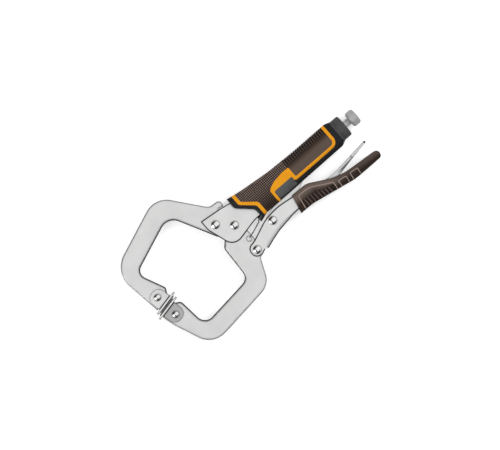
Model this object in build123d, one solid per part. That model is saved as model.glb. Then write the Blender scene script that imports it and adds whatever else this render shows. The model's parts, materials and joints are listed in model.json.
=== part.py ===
from build123d import *
import math
import os

# Locking C-clamp pliers with swivelling pads, closed and locked.
# Millimetres. The tool lies on its side: +X runs along the fixed handle to the knob, +Y to the
# fixed jaw's back, +Z up. Outlines are drawn about the jaw pivot, in the tool's middle plane,
# and placed at the end so that the origin is below the middle of the tool's box.

# Overall sizes
LENGTH = 279.4                 # 11 inch, jaw back to knob end
KNOB_END_X = 161.9
GRIP_HALF_Z = 12.0             # upper grip, the thickest piece
LOWER_GRIP_HALF_Z = 10.5

# Pivots
JAW_PIVOT = (0.0, 0.0)
ANCHOR_RIVET = (-13.8, 12.6)
HANDLE_PIVOT = (1.2, -32.8)
LINK_PIVOT = (31.6, -21.2)
LINK_END = (98.8, 3.4)
LEVER_PIVOT = (86.5, -25.0)
FIXED_PAD_PIVOT = (-103.8, -3.9)
MOVING_PAD_PIVOT = (-101.2, -28.3)
SPRING_HOLE = (2.2, -19.5)
SPRING_ANCHOR = (57.5, -0.9)

# Plates and sheet
JAW_HALF = 3.5
SHEET = 2.0
GAP_HALF = 3.65                # half the room between a narrow shell's two sides
SHELL_HALF = GAP_HALF + SHEET
WIDE_GAP_HALF = 7.0            # the fixed shell widens below the grip to take the screw
WIDE_HALF = WIDE_GAP_HALF + SHEET
FLARE_START = 29.0
FLARE_END = 41.0
SHELL_END = 135.0
LINK_HALF = 3.0
LEVER_HALF = 3.4
LEVER_WALL = 1.5
LEVER_TAIL_HALF = 5.5
LEVER_TAIL_START = 131.0
BEND_R = 1.4                   # outer rounding where sheet is bent over
JAW_BEVEL = 1.5
JAW_BEVEL_DEPTH = 0.9
HUB_RADIUS = 11.5

# Rivets and pins
RIVET_R = 3.4
RIVET_HEAD_R = 4.3
RIVET_HEAD = 2.0
HEAD_RIM = 0.5                 # height of a head's upright rim, below its dome
PAD_RIVET_R = 2.6
PAD_RIVET_HEAD_R = 3.7
PAD_RIVET_HEAD = 2.0
LEVER_PIN_R = 2.0
LEVER_PIN_HALF = 5.6
ANCHOR_PIN_R = 1.5
FIT = 0.05                     # radial clearance where something turns
SEAT = 0.02                    # radial clearance where nothing turns

# Pads
PAD_TILT = 12.0                # the clamping line's angle to X, in degrees
PAD_FACE = 11.15               # pivot to clamping face
PAD_PLATE = 2.2
PAD_LENGTH = 27.4
PAD_HALF_Z = 9.0
PAD_CORNER = 5.0
EAR_LENGTH = 17.0
EAR_TOP = 6.9
TOOTH_PITCH = 1.6
TOOTH_DEPTH = 0.6
TOOTH_BAND_HALF = 2.0          # flat band left along the middle of the face

# Screw and knob
SCREW_Y = LINK_END[1]
SCREW_R = 4.0
SCREW_TIP_X = 105.8
KNOB_START_X = 152.9
KNOB_R = 8.3
KNOB_EDGE = 2.2
KNURL_COUNT = 48
KNURL_DEPTH = 0.35
BUSH_START_X = 124.0
BUSH_NECK_X = 134.9
BUSH_END_X = 146.2
BUSH_R = 7.6
COLLAR_START_X = 134.0
COLLAR_END_X = 146.5
COLLAR_R = 11.6

# Grips
GRIP_EDGE = 6.0
OVERMOULD = 1.4                # thickness of the soft cover and of the trims
LOWER_EDGE = 3.8
RIB_COUNT = 18
RIB_PITCH = 2.72
RIB_FIRST_X = 79.0
RIB_GAP = 1.0
RIB_DEPTH = 0.8
RIB_BOTTOM_Y = 10.4
SLOT_END_X = 112.0

# Spring
COIL_R = 3.0
WIRE_R = 0.55
COIL_START = (21.9, -12.0)
COIL_LENGTH = 29.5
COIL_TILT = 17.4


def outline(corners):
    """Flat face inside a polygon; each corner is (x, y, rounding radius)."""
    points = [(corner[0], corner[1]) for corner in corners]
    radii = [corner[2] for corner in corners]
    return make_face(FilletPolyline(*points, radius=radii, close=True))


def prism(corners, half):
    """Outline made solid from -half to +half across the middle plane."""
    face = Pos(0, 0, -half) * outline(corners)
    return extrude(face, 2 * half, dir=(0, 0, 1))


def square(points):
    """Corner list without rounding."""
    return [(point[0], point[1], 0) for point in points]


def drill(place, radius, half=40.0):
    """Round cutter or pin along Z at a place in the middle plane."""
    return Pos(place[0], place[1], 0) * Cylinder(radius, 2 * half)


def edges_at_height(solid, height):
    """Edges lying flat at one height."""
    found = []
    for edge in solid.edges():
        box = edge.bounding_box()
        if abs(box.min.Z - height) < 1e-4 and abs(box.max.Z - height) < 1e-4:
            found.append(edge)
    return found


def bevel_sides(solid, half, inside):
    """Bevel both flat faces along the edges whose middle passes the inside test."""
    rims = edges_at_height(solid, half) + edges_at_height(solid, -half)
    rims = [edge for edge in rims if inside(edge.center())]
    return chamfer(ShapeList(rims), JAW_BEVEL, JAW_BEVEL_DEPTH)


def round_bends(solid, inside):
    """Round a narrow shell's outer edges where its sheet is bent over into the back."""
    rims = edges_at_height(solid, SHELL_HALF) + edges_at_height(solid, -SHELL_HALF)
    rims = [edge for edge in rims if inside(edge.center())]
    return fillet(ShapeList(rims), BEND_R)


# ---------------------------------------------------------------- jaws

FIXED_JAW = [
    (-112.4, -13.3, 0),
    (-119.9, 42.4, 25.0),
    (-41.4, 72.7, 22.0),
    (-7.4, 29.8, 7.0),
    (5.2, 28.6, 3.4),
    (4.2, 21.5, 0),
    (-1.6, 22.6, 0),
    (-1.6, 16.5, 2.0),
    (-6.0, 13.0, 0),
    (-14.0, 6.0, 0),
    (-16.0, 1.6, 2.0),
    (-20.0, 1.9, 0),
    (-44.6, 49.6, 13.5),
    (-104.2, 26.7, 8.0),
    (-91.4, -1.9, 3.0),
    (-94.4, -7.2, 3.0),
    (-94.9, -9.6, 0),
]

MOVING_JAW = [
    (-112.9, -21.6, 1.2),
    (-109.6, -34.6, 40.0),
    (-92.9, -75.9, 22.0),
    (-12.7, -66.5, 19.0),
    (-1.4, -40.6, 4.0),
    (2.5, -39.6, 3.0),
    (7.6, -37.4, 5.0),
    (7.6, -28.6, 4.0),
    (6.4, -25.0, 3.0),
    (6.4, 0.0, 0),
    (-9.5, -1.0, 0),
    (-17.6, -5.2, 0),
    (-23.0, -10.8, 6.0),
    (-24.8, -48.1, 9.0),
    (-85.9, -54.9, 10.0),
    (-89.1, -21.9, 5.0),
    (-94.0, -19.6, 0),
]


def make_fixed_jaw():
    """C-shaped upper jaw: shank in the shell, hook over the shell's back, tip at the pad."""
    jaw = prism(FIXED_JAW, JAW_HALF)
    jaw = bevel_sides(jaw, JAW_HALF, fixed_jaw_window)
    jaw -= drill(JAW_PIVOT, HUB_RADIUS + 0.6)
    jaw -= drill(ANCHOR_RIVET, RIVET_R + SEAT)
    jaw -= drill(FIXED_PAD_PIVOT, PAD_RIVET_R + SEAT)
    return jaw


def fixed_jaw_window(middle):
    """The window side of the fixed jaw: its long inner edges and their two corners."""
    right_of_tip = middle.X > -104.0 and middle.X < -24.0
    return right_of_tip and middle.Y > 0.0 and middle.Y < 50.0 and above_inner_line(middle)


def above_inner_line(middle):
    """Leaves out the outer edge, which runs 20 mm outside the inner one."""
    along = 66.7 + 0.3835 * middle.X
    return middle.Y < along + 6.0


def make_moving_jaw():
    """C-shaped lower jaw with a round hub at the jaw pivot and a neck to the handle pivot."""
    jaw = prism(MOVING_JAW, JAW_HALF)
    jaw = bevel_sides(jaw, JAW_HALF, moving_jaw_window)
    jaw += drill(JAW_PIVOT, HUB_RADIUS, JAW_HALF)
    jaw -= drill(JAW_PIVOT, RIVET_R + FIT)
    jaw -= drill(HANDLE_PIVOT, RIVET_R + FIT)
    jaw -= drill(SPRING_HOLE, 2.1)
    jaw -= drill(MOVING_PAD_PIVOT, PAD_RIVET_R + SEAT)
    return jaw


def moving_jaw_window(middle):
    """The window side of the moving jaw."""
    inside_x = middle.X > -90.0 and middle.X < -22.0
    return inside_x and middle.Y > -56.0 and middle.Y < -14.0


# ---------------------------------------------------------------- fixed shell

FIXED_SHELL = [
    (-22.9, 24.3, 0),
    (-23.1, 13.4, 14.0),
    (-13.6, -16.3, 12.0),
    (19.0, -9.3, 30.0),
    (SHELL_END, -9.2, 1.0),
    (SHELL_END, 14.2, 1.0),
    (76.0, 14.6, 80.0),
    (45.0, 16.4, 80.0),
    (18.0, 18.2, 60.0),
    (-0.3, 21.8, 60.0),
]

# The room inside: open at the bottom and in front, closed by the back from the hook onward.
FIXED_SHELL_ROOM = square([
    (-30.0, 30.0),
    (-30.0, -20.0),
    (SHELL_END + 5, -20.0),
    (SHELL_END + 5, 12.2),
    (76.0, 12.6),
    (45.0, 14.4),
    (18.0, 16.2),
    (4.6, 18.8),
    (-0.9, 19.9),
    (-0.9, 30.0),
])


def flared(narrow, wide):
    """Block seen from above as a bar that widens from narrow to wide below the grip."""
    half = [(-60.0, narrow), (FLARE_START, narrow), (FLARE_END, wide), (200.0, wide)]
    mirrored = [(x, -z) for x, z in reversed(half)]
    face = make_face(Plane.XZ * Polyline(*half, *mirrored, close=True))
    return extrude(face, 60.0, both=True)


def make_fixed_shell():
    """Pressed steel channel: two side plates joined along the back, open at the bottom."""
    shell = prism(FIXED_SHELL, 20.0) & flared(SHELL_HALF, WIDE_HALF)
    shell = round_bends(shell, lambda spot: spot.Y > 17.0 and spot.X < FLARE_START)
    shell -= prism(FIXED_SHELL_ROOM, 20.0) & flared(GAP_HALF, WIDE_GAP_HALF)
    shell -= drill(ANCHOR_RIVET, RIVET_R + SEAT)
    shell -= drill(JAW_PIVOT, RIVET_R + SEAT)
    shell -= drill(SPRING_ANCHOR, ANCHOR_PIN_R + SEAT)
    return shell


def make_threaded_bush():
    """Nut for the adjusting screw: a block in the shell's end with a round neck."""
    block_length = BUSH_NECK_X - BUSH_START_X
    block = Box(block_length, 17.2, 2 * (WIDE_GAP_HALF - 0.05))
    block = fillet(block.edges().filter_by(Axis.X), 2.0)
    bush = Pos(BUSH_START_X + block_length / 2, SCREW_Y, 0) * block
    neck_length = BUSH_END_X - BUSH_NECK_X
    bush += bar_x(BUSH_R, SHELL_END + FIT, BUSH_END_X)
    bush += bar_x(WIDE_GAP_HALF - 0.1, BUSH_NECK_X - 1.0, SHELL_END + 1.0)
    bush = chamfer(bush.edges().sort_by(Axis.X)[-1], neck_length * 0.06)
    bush -= bar_x(SCREW_R + FIT, BUSH_START_X - 1.0, BUSH_END_X + 1.0)
    return bush


def bar_x(radius, low, high):
    """Round bar along X on the screw's axis."""
    bar = Rot(0, 90, 0) * Cylinder(radius, high - low)
    return Pos((low + high) / 2, SCREW_Y, 0) * bar


# ---------------------------------------------------------------- rivets and pins

def rivet(place, radius, half, head_radius, head):
    """Solid rivet with a domed head on each side of a stack 2 x half thick."""
    body = drill(place, radius, half + 0.1)
    rise = head - HEAD_RIM
    ball = (head_radius ** 2 + rise ** 2) / (2 * rise)
    dome = Cylinder(head_radius, head, align=(Align.CENTER, Align.CENTER, Align.MIN))
    dome &= Pos(0, 0, head - ball) * Sphere(ball)
    top = Pos(place[0], place[1], half + FIT) * dome
    bottom = Pos(place[0], place[1], -half - FIT) * Rot(180, 0, 0) * dome
    return body + top + bottom


def pin(place, radius, half):
    """Plain pin across the tool with eased ends."""
    body = Cylinder(radius, 2 * half)
    body = chamfer(body.edges().filter_by(GeomType.CIRCLE), 0.3)
    return Pos(place[0], place[1], 0) * body


# ---------------------------------------------------------------- pads

def pad_at(place, direction, shape):
    """Turns a pad drawn with its face at -Y about its pivot; direction 1 or -1 flips it."""
    flip = 0.0 if direction > 0 else 180.0
    return Pos(place[0], place[1], 0) * Rot(0, 0, PAD_TILT + flip) * shape


def make_pad():
    """Swivel shoe about its pivot: toothed face plate and two D-shaped ears."""
    plate = pad_plate()
    ear = outline([
        (-EAR_LENGTH / 2, -PAD_FACE + PAD_PLATE - 0.5, 0),
        (EAR_LENGTH / 2, -PAD_FACE + PAD_PLATE - 0.5, 0),
        (EAR_LENGTH / 2, EAR_TOP, 7.6),
        (-EAR_LENGTH / 2, EAR_TOP, 7.6),
    ])
    low = GAP_HALF
    ears = extrude(Pos(0, 0, low) * ear, SHEET, dir=(0, 0, 1))
    ears += extrude(Pos(0, 0, -low - SHEET) * ear, SHEET, dir=(0, 0, 1))
    pad = plate + ears
    pad -= drill((0, 0), PAD_RIVET_R + FIT)
    return pad


def pad_plate():
    """Face plate with rounded corners and rows of teeth either side of a flat band."""
    face = RectangleRounded(PAD_LENGTH, 2 * PAD_HALF_Z, PAD_CORNER)
    plate = Rot(90, 0, 0) * extrude(face, PAD_PLATE, dir=(0, 0, 1))
    plate = Pos(0, -PAD_FACE + PAD_PLATE, 0) * plate
    count = int((PAD_LENGTH - 3.0) / TOOTH_PITCH)
    first = -TOOTH_PITCH * (count - 1) / 2
    profile = Polyline((-TOOTH_DEPTH, -0.01), (TOOTH_DEPTH, -0.01), (0, TOOTH_DEPTH), close=True)
    length = PAD_HALF_Z - TOOTH_BAND_HALF + 2.0
    notch = extrude(make_face(profile), length, dir=(0, 0, 1))
    for index in range(count):
        spot = first + index * TOOTH_PITCH
        plate -= Pos(spot, -PAD_FACE, TOOTH_BAND_HALF) * notch
        plate -= Pos(spot, -PAD_FACE, -TOOTH_BAND_HALF - length) * notch
    return plate


# ---------------------------------------------------------------- lower handle

LOWER_SHELL = [
    (-5.8, -26.3, 6.4),
    (4.6, -24.2, 12.0),
    (25.0, -15.9, 30.0),
    (42.0, -13.5, 60.0),
    (64.0, -16.4, 40.0),
    (83.0, -18.0, 12.0),
    (103.0, -30.6, 20.0),
    (116.0, -34.4, 20.0),
    (146.0, -36.8, 0),
    (146.0, -41.2, 0),
    (118.0, -40.9, 40.0),
    (88.0, -35.4, 60.0),
    (70.0, -31.4, 40.0),
    (57.0, -29.2, 60.0),
    (30.0, -33.1, 40.0),
    (17.0, -36.9, 40.0),
    (11.0, -39.0, 0),
    (8.0, -37.4, 0),
    (3.0, -39.4, 6.0),
    (-5.8, -39.7, 6.6),
]

# The room inside: open at the top, closed along the bottom from the notch onward.
LOWER_SHELL_ROOM = square([
    (-20.0, 0.0),
    (-20.0, -50.0),
    (11.2, -50.0),
    (11.2, -36.9),
    (17.0, -34.9),
    (30.0, -31.0),
    (57.0, -27.2),
    (70.0, -29.4),
    (88.0, -33.4),
    (118.0, -38.9),
    (160.0, -39.2),
    (160.0, 0.0),
])


def make_lower_shell():
    """Pressed steel channel of the moving handle, open toward the fixed handle."""
    shell = prism(LOWER_SHELL, SHELL_HALF)
    shell = round_bends(shell, lambda spot: spot.Y < -28.0 and spot.X > 11.0)
    shell -= prism(LOWER_SHELL_ROOM, GAP_HALF)
    shell -= drill(HANDLE_PIVOT, RIVET_R + FIT)
    shell -= drill(LINK_PIVOT, RIVET_R + SEAT)
    shell -= drill(LEVER_PIVOT, LEVER_PIN_R + SEAT)
    return shell


LOWER_GRIP = [
    (50.0, -14.9, 0),
    (80.0, -15.2, 16.0),
    (103.5, -28.4, 26.0),
    (118.0, -32.2, 60.0),
    (155.0, -35.3, 4.1),
    (154.2, -43.9, 4.1),
    (120.0, -43.8, 60.0),
    (72.0, -34.5, 60.0),
    (50.0, -34.2, 0),
]


def make_lower_grip():
    """Plastic sleeve over the moving handle, slotted on top for the link and the lever."""
    grip = prism(LOWER_GRIP, LOWER_GRIP_HALF_Z)
    rims = edges_at_height(grip, LOWER_GRIP_HALF_Z) + edges_at_height(grip, -LOWER_GRIP_HALF_Z)
    rims = [e for e in rims if e.center().X > 50.5]
    grip = fillet(ShapeList(rims), LOWER_EDGE)
    grip -= prism(square([(40.0, 0.0), (62.6, 0.0), (62.0, -14.0), (57.3, -36.0), (40.0, -36.0)]), 30.0)
    pocket = offset(outline(LOWER_SHELL), FIT)
    half = SHELL_HALF + FIT
    grip -= extrude(Pos(0, 0, -half) * pocket, 2 * half, dir=(0, 0, 1))
    grip -= prism(square([(50.0, 0.0), (50.0, -27.0), (136.0, -37.0), (136.0, 0.0)]), GAP_HALF)
    return grip


# ---------------------------------------------------------------- link and lever

def make_toggle_link():
    """Flat strut between the lower handle and the screw's tip, with a heel on its lower edge."""
    run = (LINK_END[0] - LINK_PIVOT[0], LINK_END[1] - LINK_PIVOT[1])
    length = math.hypot(*run)
    angle = math.degrees(math.atan2(run[1], run[0]))
    heel = (38.0, -1.7)
    circles = Sketch() + Circle(7.0)
    circles += Pos(heel[0], heel[1]) * Circle(6.4)
    circles += Pos(length, 0) * Circle(4.0)
    strut = extrude(Pos(0, 0, -LINK_HALF) * make_hull(circles.edges()), 2 * LINK_HALF, dir=(0, 0, 1))
    link = Pos(LINK_PIVOT[0], LINK_PIVOT[1], 0) * Rot(0, 0, angle) * strut
    link -= drill(LINK_PIVOT, RIVET_R + FIT)
    return link


RELEASE_LEVER = [
    (66.8, -19.4, 1.5),
    (84.0, -20.8, 10.0),
    (99.0, -25.0, 20.0),
    (110.0, -25.3, 40.0),
    (130.0, -23.2, 90.0),
    (150.9, -20.6, 1.1),
    (151.9, -22.9, 1.1),
    (140.0, -24.8, 20.0),
    (134.0, -25.8, 6.0),
    (113.0, -30.0, 8.0),
    (98.0, -31.0, 10.0),
    (84.0, -29.5, 8.0),
    (67.2, -22.8, 1.6),
]


def make_release_lever():
    """Pressed channel lever: nose below the link, pivot boss, and a flat tail for the fingers."""
    lever = prism(RELEASE_LEVER, LEVER_HALF)
    room = square([(92.5, -25.2), (99.0, -26.8), (110.0, -27.1), (131.0, -25.0), (131.0, -40.0), (92.5, -40.0)])
    lever -= prism(room, LEVER_HALF - LEVER_WALL)
    tail_face = RectangleRounded(40.0, 2 * LEVER_TAIL_HALF, 4.5)
    tail = Rot(90, 0, 0) * extrude(Pos(0, 0, -30.0) * tail_face, 60.0, dir=(0, 0, 1))
    tail = Pos(152.0 - 20.0, 0, 0) * tail & Pos(LEVER_TAIL_START + 30.0, 0, 0) * Box(60.0, 200.0, 40.0)
    lever += prism(RELEASE_LEVER, LEVER_TAIL_HALF) & tail
    lever -= drill(LEVER_PIVOT, LEVER_PIN_R + FIT)
    return lever


# ---------------------------------------------------------------- screw and knob

def make_adjusting_screw():
    """Threaded shank drawn at its thread's outside diameter, with a coned tip."""
    shank = bar_x(SCREW_R, SCREW_TIP_X, KNOB_START_X + 6.0)
    return chamfer(shank.edges().sort_by(Axis.X)[0], 1.4)


def make_knurled_knob():
    """Round knob with eased edges, straight knurling and a shallow dish in its end."""
    knob = bar_x(KNOB_R, KNOB_START_X, KNOB_END_X)
    knob = chamfer(knob.edges().filter_by(GeomType.CIRCLE), KNOB_EDGE)
    tooth = Box(KNOB_END_X - KNOB_START_X - 3.4, 0.55, 2 * KNURL_DEPTH)
    middle = (KNOB_START_X + KNOB_END_X) / 2
    for index in range(KNURL_COUNT):
        turn = 360.0 * index / KNURL_COUNT
        knob -= Pos(middle, SCREW_Y, 0) * Rot(turn, 0, 0) * Pos(0, 0, KNOB_R) * tooth
    knob -= bar_x(5.0, KNOB_END_X - 0.6, KNOB_END_X + 1.0)
    knob -= bar_x(SCREW_R + SEAT, KNOB_START_X - 1.0, KNOB_START_X + 6.0 + SEAT)
    return knob


# ---------------------------------------------------------------- upper grip

UPPER_GRIP = [
    (0.0, 26.2, 0),
    (0.0, -11.8, 0),
    (132.0, -10.9, 9.0),
    (137.0, -8.3, 0),
    (137.0, 14.9, 0),
    (131.6, 17.1, 9.0),
    (92.0, 17.1, 100.0),
    (60.0, 18.0, 100.0),
    (27.0, 21.5, 80.0),
]

GRIP_FRONT = [
    (-10.0, 40.0, 0),
    (10.7, 40.0, 0),
    (10.7, 12.6, 6.0),
    (25.6, -1.4, 6.0),
    (26.3, -20.0, 0),
    (-10.0, -20.0, 0),
]

FRONT_TRIM = [
    (16.0, 40.0, 0),
    (16.0, 12.3, 4.0),
    (29.3, 0.3, 5.0),
    (29.4, -20.0, 0),
    (32.9, -20.0, 0),
    (32.8, 2.1, 4.5),
    (19.4, 13.3, 3.5),
    (19.4, 40.0, 0),
]

LONG_TRIM = [
    (48.1, -20.0, 0),
    (48.1, 3.2, 4.5),
    (57.0, 6.8, 12.0),
    (68.0, 8.4, 20.0),
    (76.8, 8.3, 1.4),
    (76.8, -3.3, 1.6),
    (126.4, -3.4, 4.5),
    (126.4, 40.0, 0),
    (129.6, 40.0, 0),
    (129.6, -6.3, 7.5),
    (73.6, -6.4, 2.4),
    (73.5, -0.7, 0.7),
    (50.8, -0.7, 2.2),
    (50.8, -20.0, 0),
]

SOFT_COVER = [
    (19.4, 40.0, 0),
    (19.4, 13.3, 3.5),
    (32.8, 2.1, 4.5),
    (32.9, -20.0, 0),
    (48.1, -20.0, 0),
    (48.1, 3.2, 4.5),
    (57.0, 6.8, 12.0),
    (68.0, 8.4, 20.0),
    (76.8, 8.3, 1.4),
    (76.8, -3.3, 1.6),
    (126.4, -3.4, 4.5),
    (126.4, 40.0, 0),
]


def grip_block(inset):
    """Rounded bar of the upper grip, drawn smaller all round by the inset."""
    face = outline(UPPER_GRIP)
    if inset > 0:
        face = offset(face, -inset, kind=Kind.INTERSECTION)
    half = GRIP_HALF_Z - inset
    block = extrude(Pos(0, 0, -half) * face, 2 * half, dir=(0, 0, 1))
    rims = edges_at_height(block, half) + edges_at_height(block, -half)
    rims = [e for e in rims if abs(e.center().X) > inset + 0.5 and e.center().X < 136.9 - inset]
    return fillet(ShapeList(rims), GRIP_EDGE - inset)


def shell_pocket():
    """Everything the fixed shell, its room and the screw need inside the grip."""
    shell_zone = prism(FIXED_SHELL, 20.0) & flared(SHELL_HALF + FIT, WIDE_HALF + FIT)
    shell_zone += prism(square([(0.0, 0.0), (0.0, -20.0), (SLOT_END_X, -20.0), (SLOT_END_X, 0.0)]), GAP_HALF)
    return shell_zone + bar_x(BUSH_R + FIT, SHELL_END - 1.0, COLLAR_END_X + 1.0)


def rib_cuts(block):
    """Grooves between the ribs on the grip's back."""
    skin = block - grip_block(RIB_DEPTH)
    slots = Part()
    for index in range(RIB_COUNT):
        spot = RIB_FIRST_X + index * RIB_PITCH
        slots += Pos(spot, RIB_BOTTOM_Y + 10.0, 0) * Box(RIB_GAP, 20.0, 40.0)
    return skin & slots


def make_upper_grip():
    """The four pieces of the upper grip: dark base, soft cover and two bright trims."""
    block = grip_block(0.0)
    skin = block - grip_block(OVERMOULD)
    skin -= prism(GRIP_FRONT, 30.0)
    skin -= shell_pocket()
    front_trim = skin & prism(FRONT_TRIM, 30.0)
    long_trim = skin & prism(LONG_TRIM, 30.0)
    cover = skin & prism(SOFT_COVER, 30.0)
    base = block + bar_x(COLLAR_R, COLLAR_START_X, COLLAR_END_X)
    base = fillet(base.edges().sort_by(Axis.X)[-1], 1.2)
    base -= prism(GRIP_FRONT, 30.0)
    base -= shell_pocket()
    base -= front_trim
    base -= long_trim
    base -= cover
    cover -= rib_cuts(block)
    return base, cover, front_trim, long_trim


# ---------------------------------------------------------------- spring

def make_return_spring():
    """Extension spring: a sleeve in place of the coil, a hook in the jaw and an eye on the pin."""
    sleeve = Cylinder(COIL_R, COIL_LENGTH) - Cylinder(COIL_R - 2 * WIRE_R, COIL_LENGTH - 2.2)
    along = Rot(0, 0, COIL_TILT) * Rot(0, 90, 0)
    tilt = math.radians(COIL_TILT)
    centre = (
        COIL_START[0] + COIL_LENGTH / 2 * math.cos(tilt),
        COIL_START[1] + COIL_LENGTH / 2 * math.sin(tilt),
    )
    spring = Pos(centre[0], centre[1], 0) * along * sleeve
    hook_x, hook_y = SPRING_HOLE
    hook = Polyline(
        (COIL_START[0] + 0.5, COIL_START[1] + 0.15, 0),
        (18.5, -14.1, 0),
        (10.0, -16.9, 0),
        (8.2, -17.6, JAW_HALF + 0.9),
        (hook_x + 0.9, hook_y + 0.3, JAW_HALF + 0.9),
        (hook_x + 0.9, hook_y + 0.3, -JAW_HALF - 1.0),
    )
    spring += sweep(Plane(hook @ 0, z_dir=hook % 0) * Circle(WIRE_R), path=hook, transition=Transition.ROUND)
    end_x = centre[0] + (COIL_LENGTH / 2 - 0.5) * math.cos(tilt)
    end_y = centre[1] + (COIL_LENGTH / 2 - 0.5) * math.sin(tilt)
    tail = Line((end_x, end_y, 0), (SPRING_ANCHOR[0] - 2.1, SPRING_ANCHOR[1] - 0.7, 0))
    spring += sweep(Plane(tail @ 0, z_dir=tail % 0) * Circle(WIRE_R), path=tail)
    spring += Pos(SPRING_ANCHOR[0], SPRING_ANCHOR[1], 0) * Torus(ANCHOR_PIN_R + WIRE_R + 0.15, WIRE_R)
    return spring


# ---------------------------------------------------------------- all pieces

def make_parts():
    """Every sub-part by node name, about the jaw pivot."""
    base, cover, front_trim, long_trim = make_upper_grip()
    stack = SHELL_HALF
    return {
        "fixed_handle_shell": make_fixed_shell(),
        "fixed_jaw": make_fixed_jaw(),
        "jaw_anchor_rivet": rivet(ANCHOR_RIVET, RIVET_R, stack, RIVET_HEAD_R, RIVET_HEAD),
        "jaw_pivot_rivet": rivet(JAW_PIVOT, RIVET_R, stack, RIVET_HEAD_R, RIVET_HEAD),
        "threaded_bush": make_threaded_bush(),
        "spring_anchor_pin": pin(SPRING_ANCHOR, ANCHOR_PIN_R, WIDE_HALF),
        "upper_grip_base": base,
        "upper_grip_cover": cover,
        "upper_grip_front_trim": front_trim,
        "upper_grip_long_trim": long_trim,
        "fixed_pad_rivet": rivet(FIXED_PAD_PIVOT, PAD_RIVET_R, stack, PAD_RIVET_HEAD_R, PAD_RIVET_HEAD),
        "fixed_pad": pad_at(FIXED_PAD_PIVOT, 1, make_pad()),
        "moving_jaw": make_moving_jaw(),
        "moving_pad_rivet": rivet(MOVING_PAD_PIVOT, PAD_RIVET_R, stack, PAD_RIVET_HEAD_R, PAD_RIVET_HEAD),
        "moving_pad": pad_at(MOVING_PAD_PIVOT, -1, make_pad()),
        "handle_pivot_rivet": rivet(HANDLE_PIVOT, RIVET_R, stack, RIVET_HEAD_R, RIVET_HEAD),
        "lower_handle_shell": make_lower_shell(),
        "lower_grip": make_lower_grip(),
        "link_rivet": rivet(LINK_PIVOT, RIVET_R, stack, RIVET_HEAD_R, RIVET_HEAD),
        "lever_pin": pin(LEVER_PIVOT, LEVER_PIN_R, LEVER_PIN_HALF),
        "toggle_link": make_toggle_link(),
        "release_lever": make_release_lever(),
        "adjusting_screw": make_adjusting_screw(),
        "knurled_knob": make_knurled_knob(),
        "return_spring": make_return_spring(),
    }


def main():
    """Places all pieces over the origin and writes one STEP file for each."""
    parts = make_parts()
    boxes = [shape.bounding_box() for shape in parts.values()]
    low_x = min(box.min.X for box in boxes)
    high_x = max(box.max.X for box in boxes)
    low_y = min(box.min.Y for box in boxes)
    high_y = max(box.max.Y for box in boxes)
    place = Pos(-(low_x + high_x) / 2, -(low_y + high_y) / 2, GRIP_HALF_Z)
    print("jaw pivot at", place.position, "length", high_x - low_x, "height", high_y - low_y)
    os.makedirs("parts", exist_ok=True)
    for node, shape in parts.items():
        export_step(place * shape, f"parts/{node}.step")
        print(node, "solids", len(shape.solids()), "valid", shape.is_valid)


main()
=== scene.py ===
import json
import math

import bmesh
import bpy
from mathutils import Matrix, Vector
from mathutils.bvhtree import BVHTree


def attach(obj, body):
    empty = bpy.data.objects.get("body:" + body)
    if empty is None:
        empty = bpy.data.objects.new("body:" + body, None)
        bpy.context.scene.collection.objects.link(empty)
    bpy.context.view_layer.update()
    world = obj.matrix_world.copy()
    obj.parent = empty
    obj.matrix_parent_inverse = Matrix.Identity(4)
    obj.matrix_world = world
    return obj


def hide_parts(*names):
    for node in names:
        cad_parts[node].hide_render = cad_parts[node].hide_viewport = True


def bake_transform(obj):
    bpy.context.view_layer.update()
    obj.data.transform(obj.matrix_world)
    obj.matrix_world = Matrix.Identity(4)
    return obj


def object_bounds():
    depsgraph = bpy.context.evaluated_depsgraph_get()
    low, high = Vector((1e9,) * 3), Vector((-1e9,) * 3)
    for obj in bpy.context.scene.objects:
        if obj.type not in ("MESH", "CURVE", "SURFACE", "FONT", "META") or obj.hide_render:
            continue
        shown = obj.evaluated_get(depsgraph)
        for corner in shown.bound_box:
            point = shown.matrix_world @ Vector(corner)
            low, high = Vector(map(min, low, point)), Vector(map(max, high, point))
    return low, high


# Locking C-clamp pliers. Every place below is given as in the tool's own drawing: millimetres
# about the jaw pivot, in the middle plane, +X to the knob and +Y to the fixed jaw.

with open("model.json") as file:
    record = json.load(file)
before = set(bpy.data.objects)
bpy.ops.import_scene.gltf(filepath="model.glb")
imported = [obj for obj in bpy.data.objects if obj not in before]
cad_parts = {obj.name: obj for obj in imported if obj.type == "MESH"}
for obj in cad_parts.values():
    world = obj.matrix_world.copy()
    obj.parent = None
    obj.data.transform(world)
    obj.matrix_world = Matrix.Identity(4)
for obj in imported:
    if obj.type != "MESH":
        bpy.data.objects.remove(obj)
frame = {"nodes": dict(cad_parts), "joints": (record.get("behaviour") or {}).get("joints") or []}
cad_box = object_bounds()

JOINTS = {joint["name"]: joint for joint in frame["joints"]}
PIVOT = Vector(JOINTS["jaw_pivot"]["pos_m"])
MM = 0.001

# Adjusting screw and knob
SCREW_Y = 3.4                   # height of their common axis
SCREW_R = 4.0
SCREW_TIP_X = 105.8
SCREW_END_X = 153.4
SCREW_SIDES = 48
THREAD_PITCH = 1.25
THREAD_DEPTH = 0.7
THREAD_SLOPE = 2.6              # steepness of the thread's flanks
THREAD_ROOT = 0.15              # how much of the rise its flat root takes
TIP_SHARE = 0.62                # radius at the coned tip, as a share of the whole
TIP_LENGTH = 1.6
NECK_R = 3.4                    # plain neck below the knob
NECK_START_X = 151.4
NECK_RUN_OUT = 0.8              # length over which the thread fades into the neck
KNOB_X = (152.9, 161.9)
KNOB_R = 8.3
KNOB_NECK_R = 3.6
KNOB_EDGE = 2.6
KNOB_STEPS = 110
KNOB_SIDES = 192
FACE_PART = 0.1                 # shares of the knob's outline: its inner face,
EDGE_PART = 0.15                # each rounded edge and the end,
RIM_PART = 0.45                 # and the rim between the edges
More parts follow.
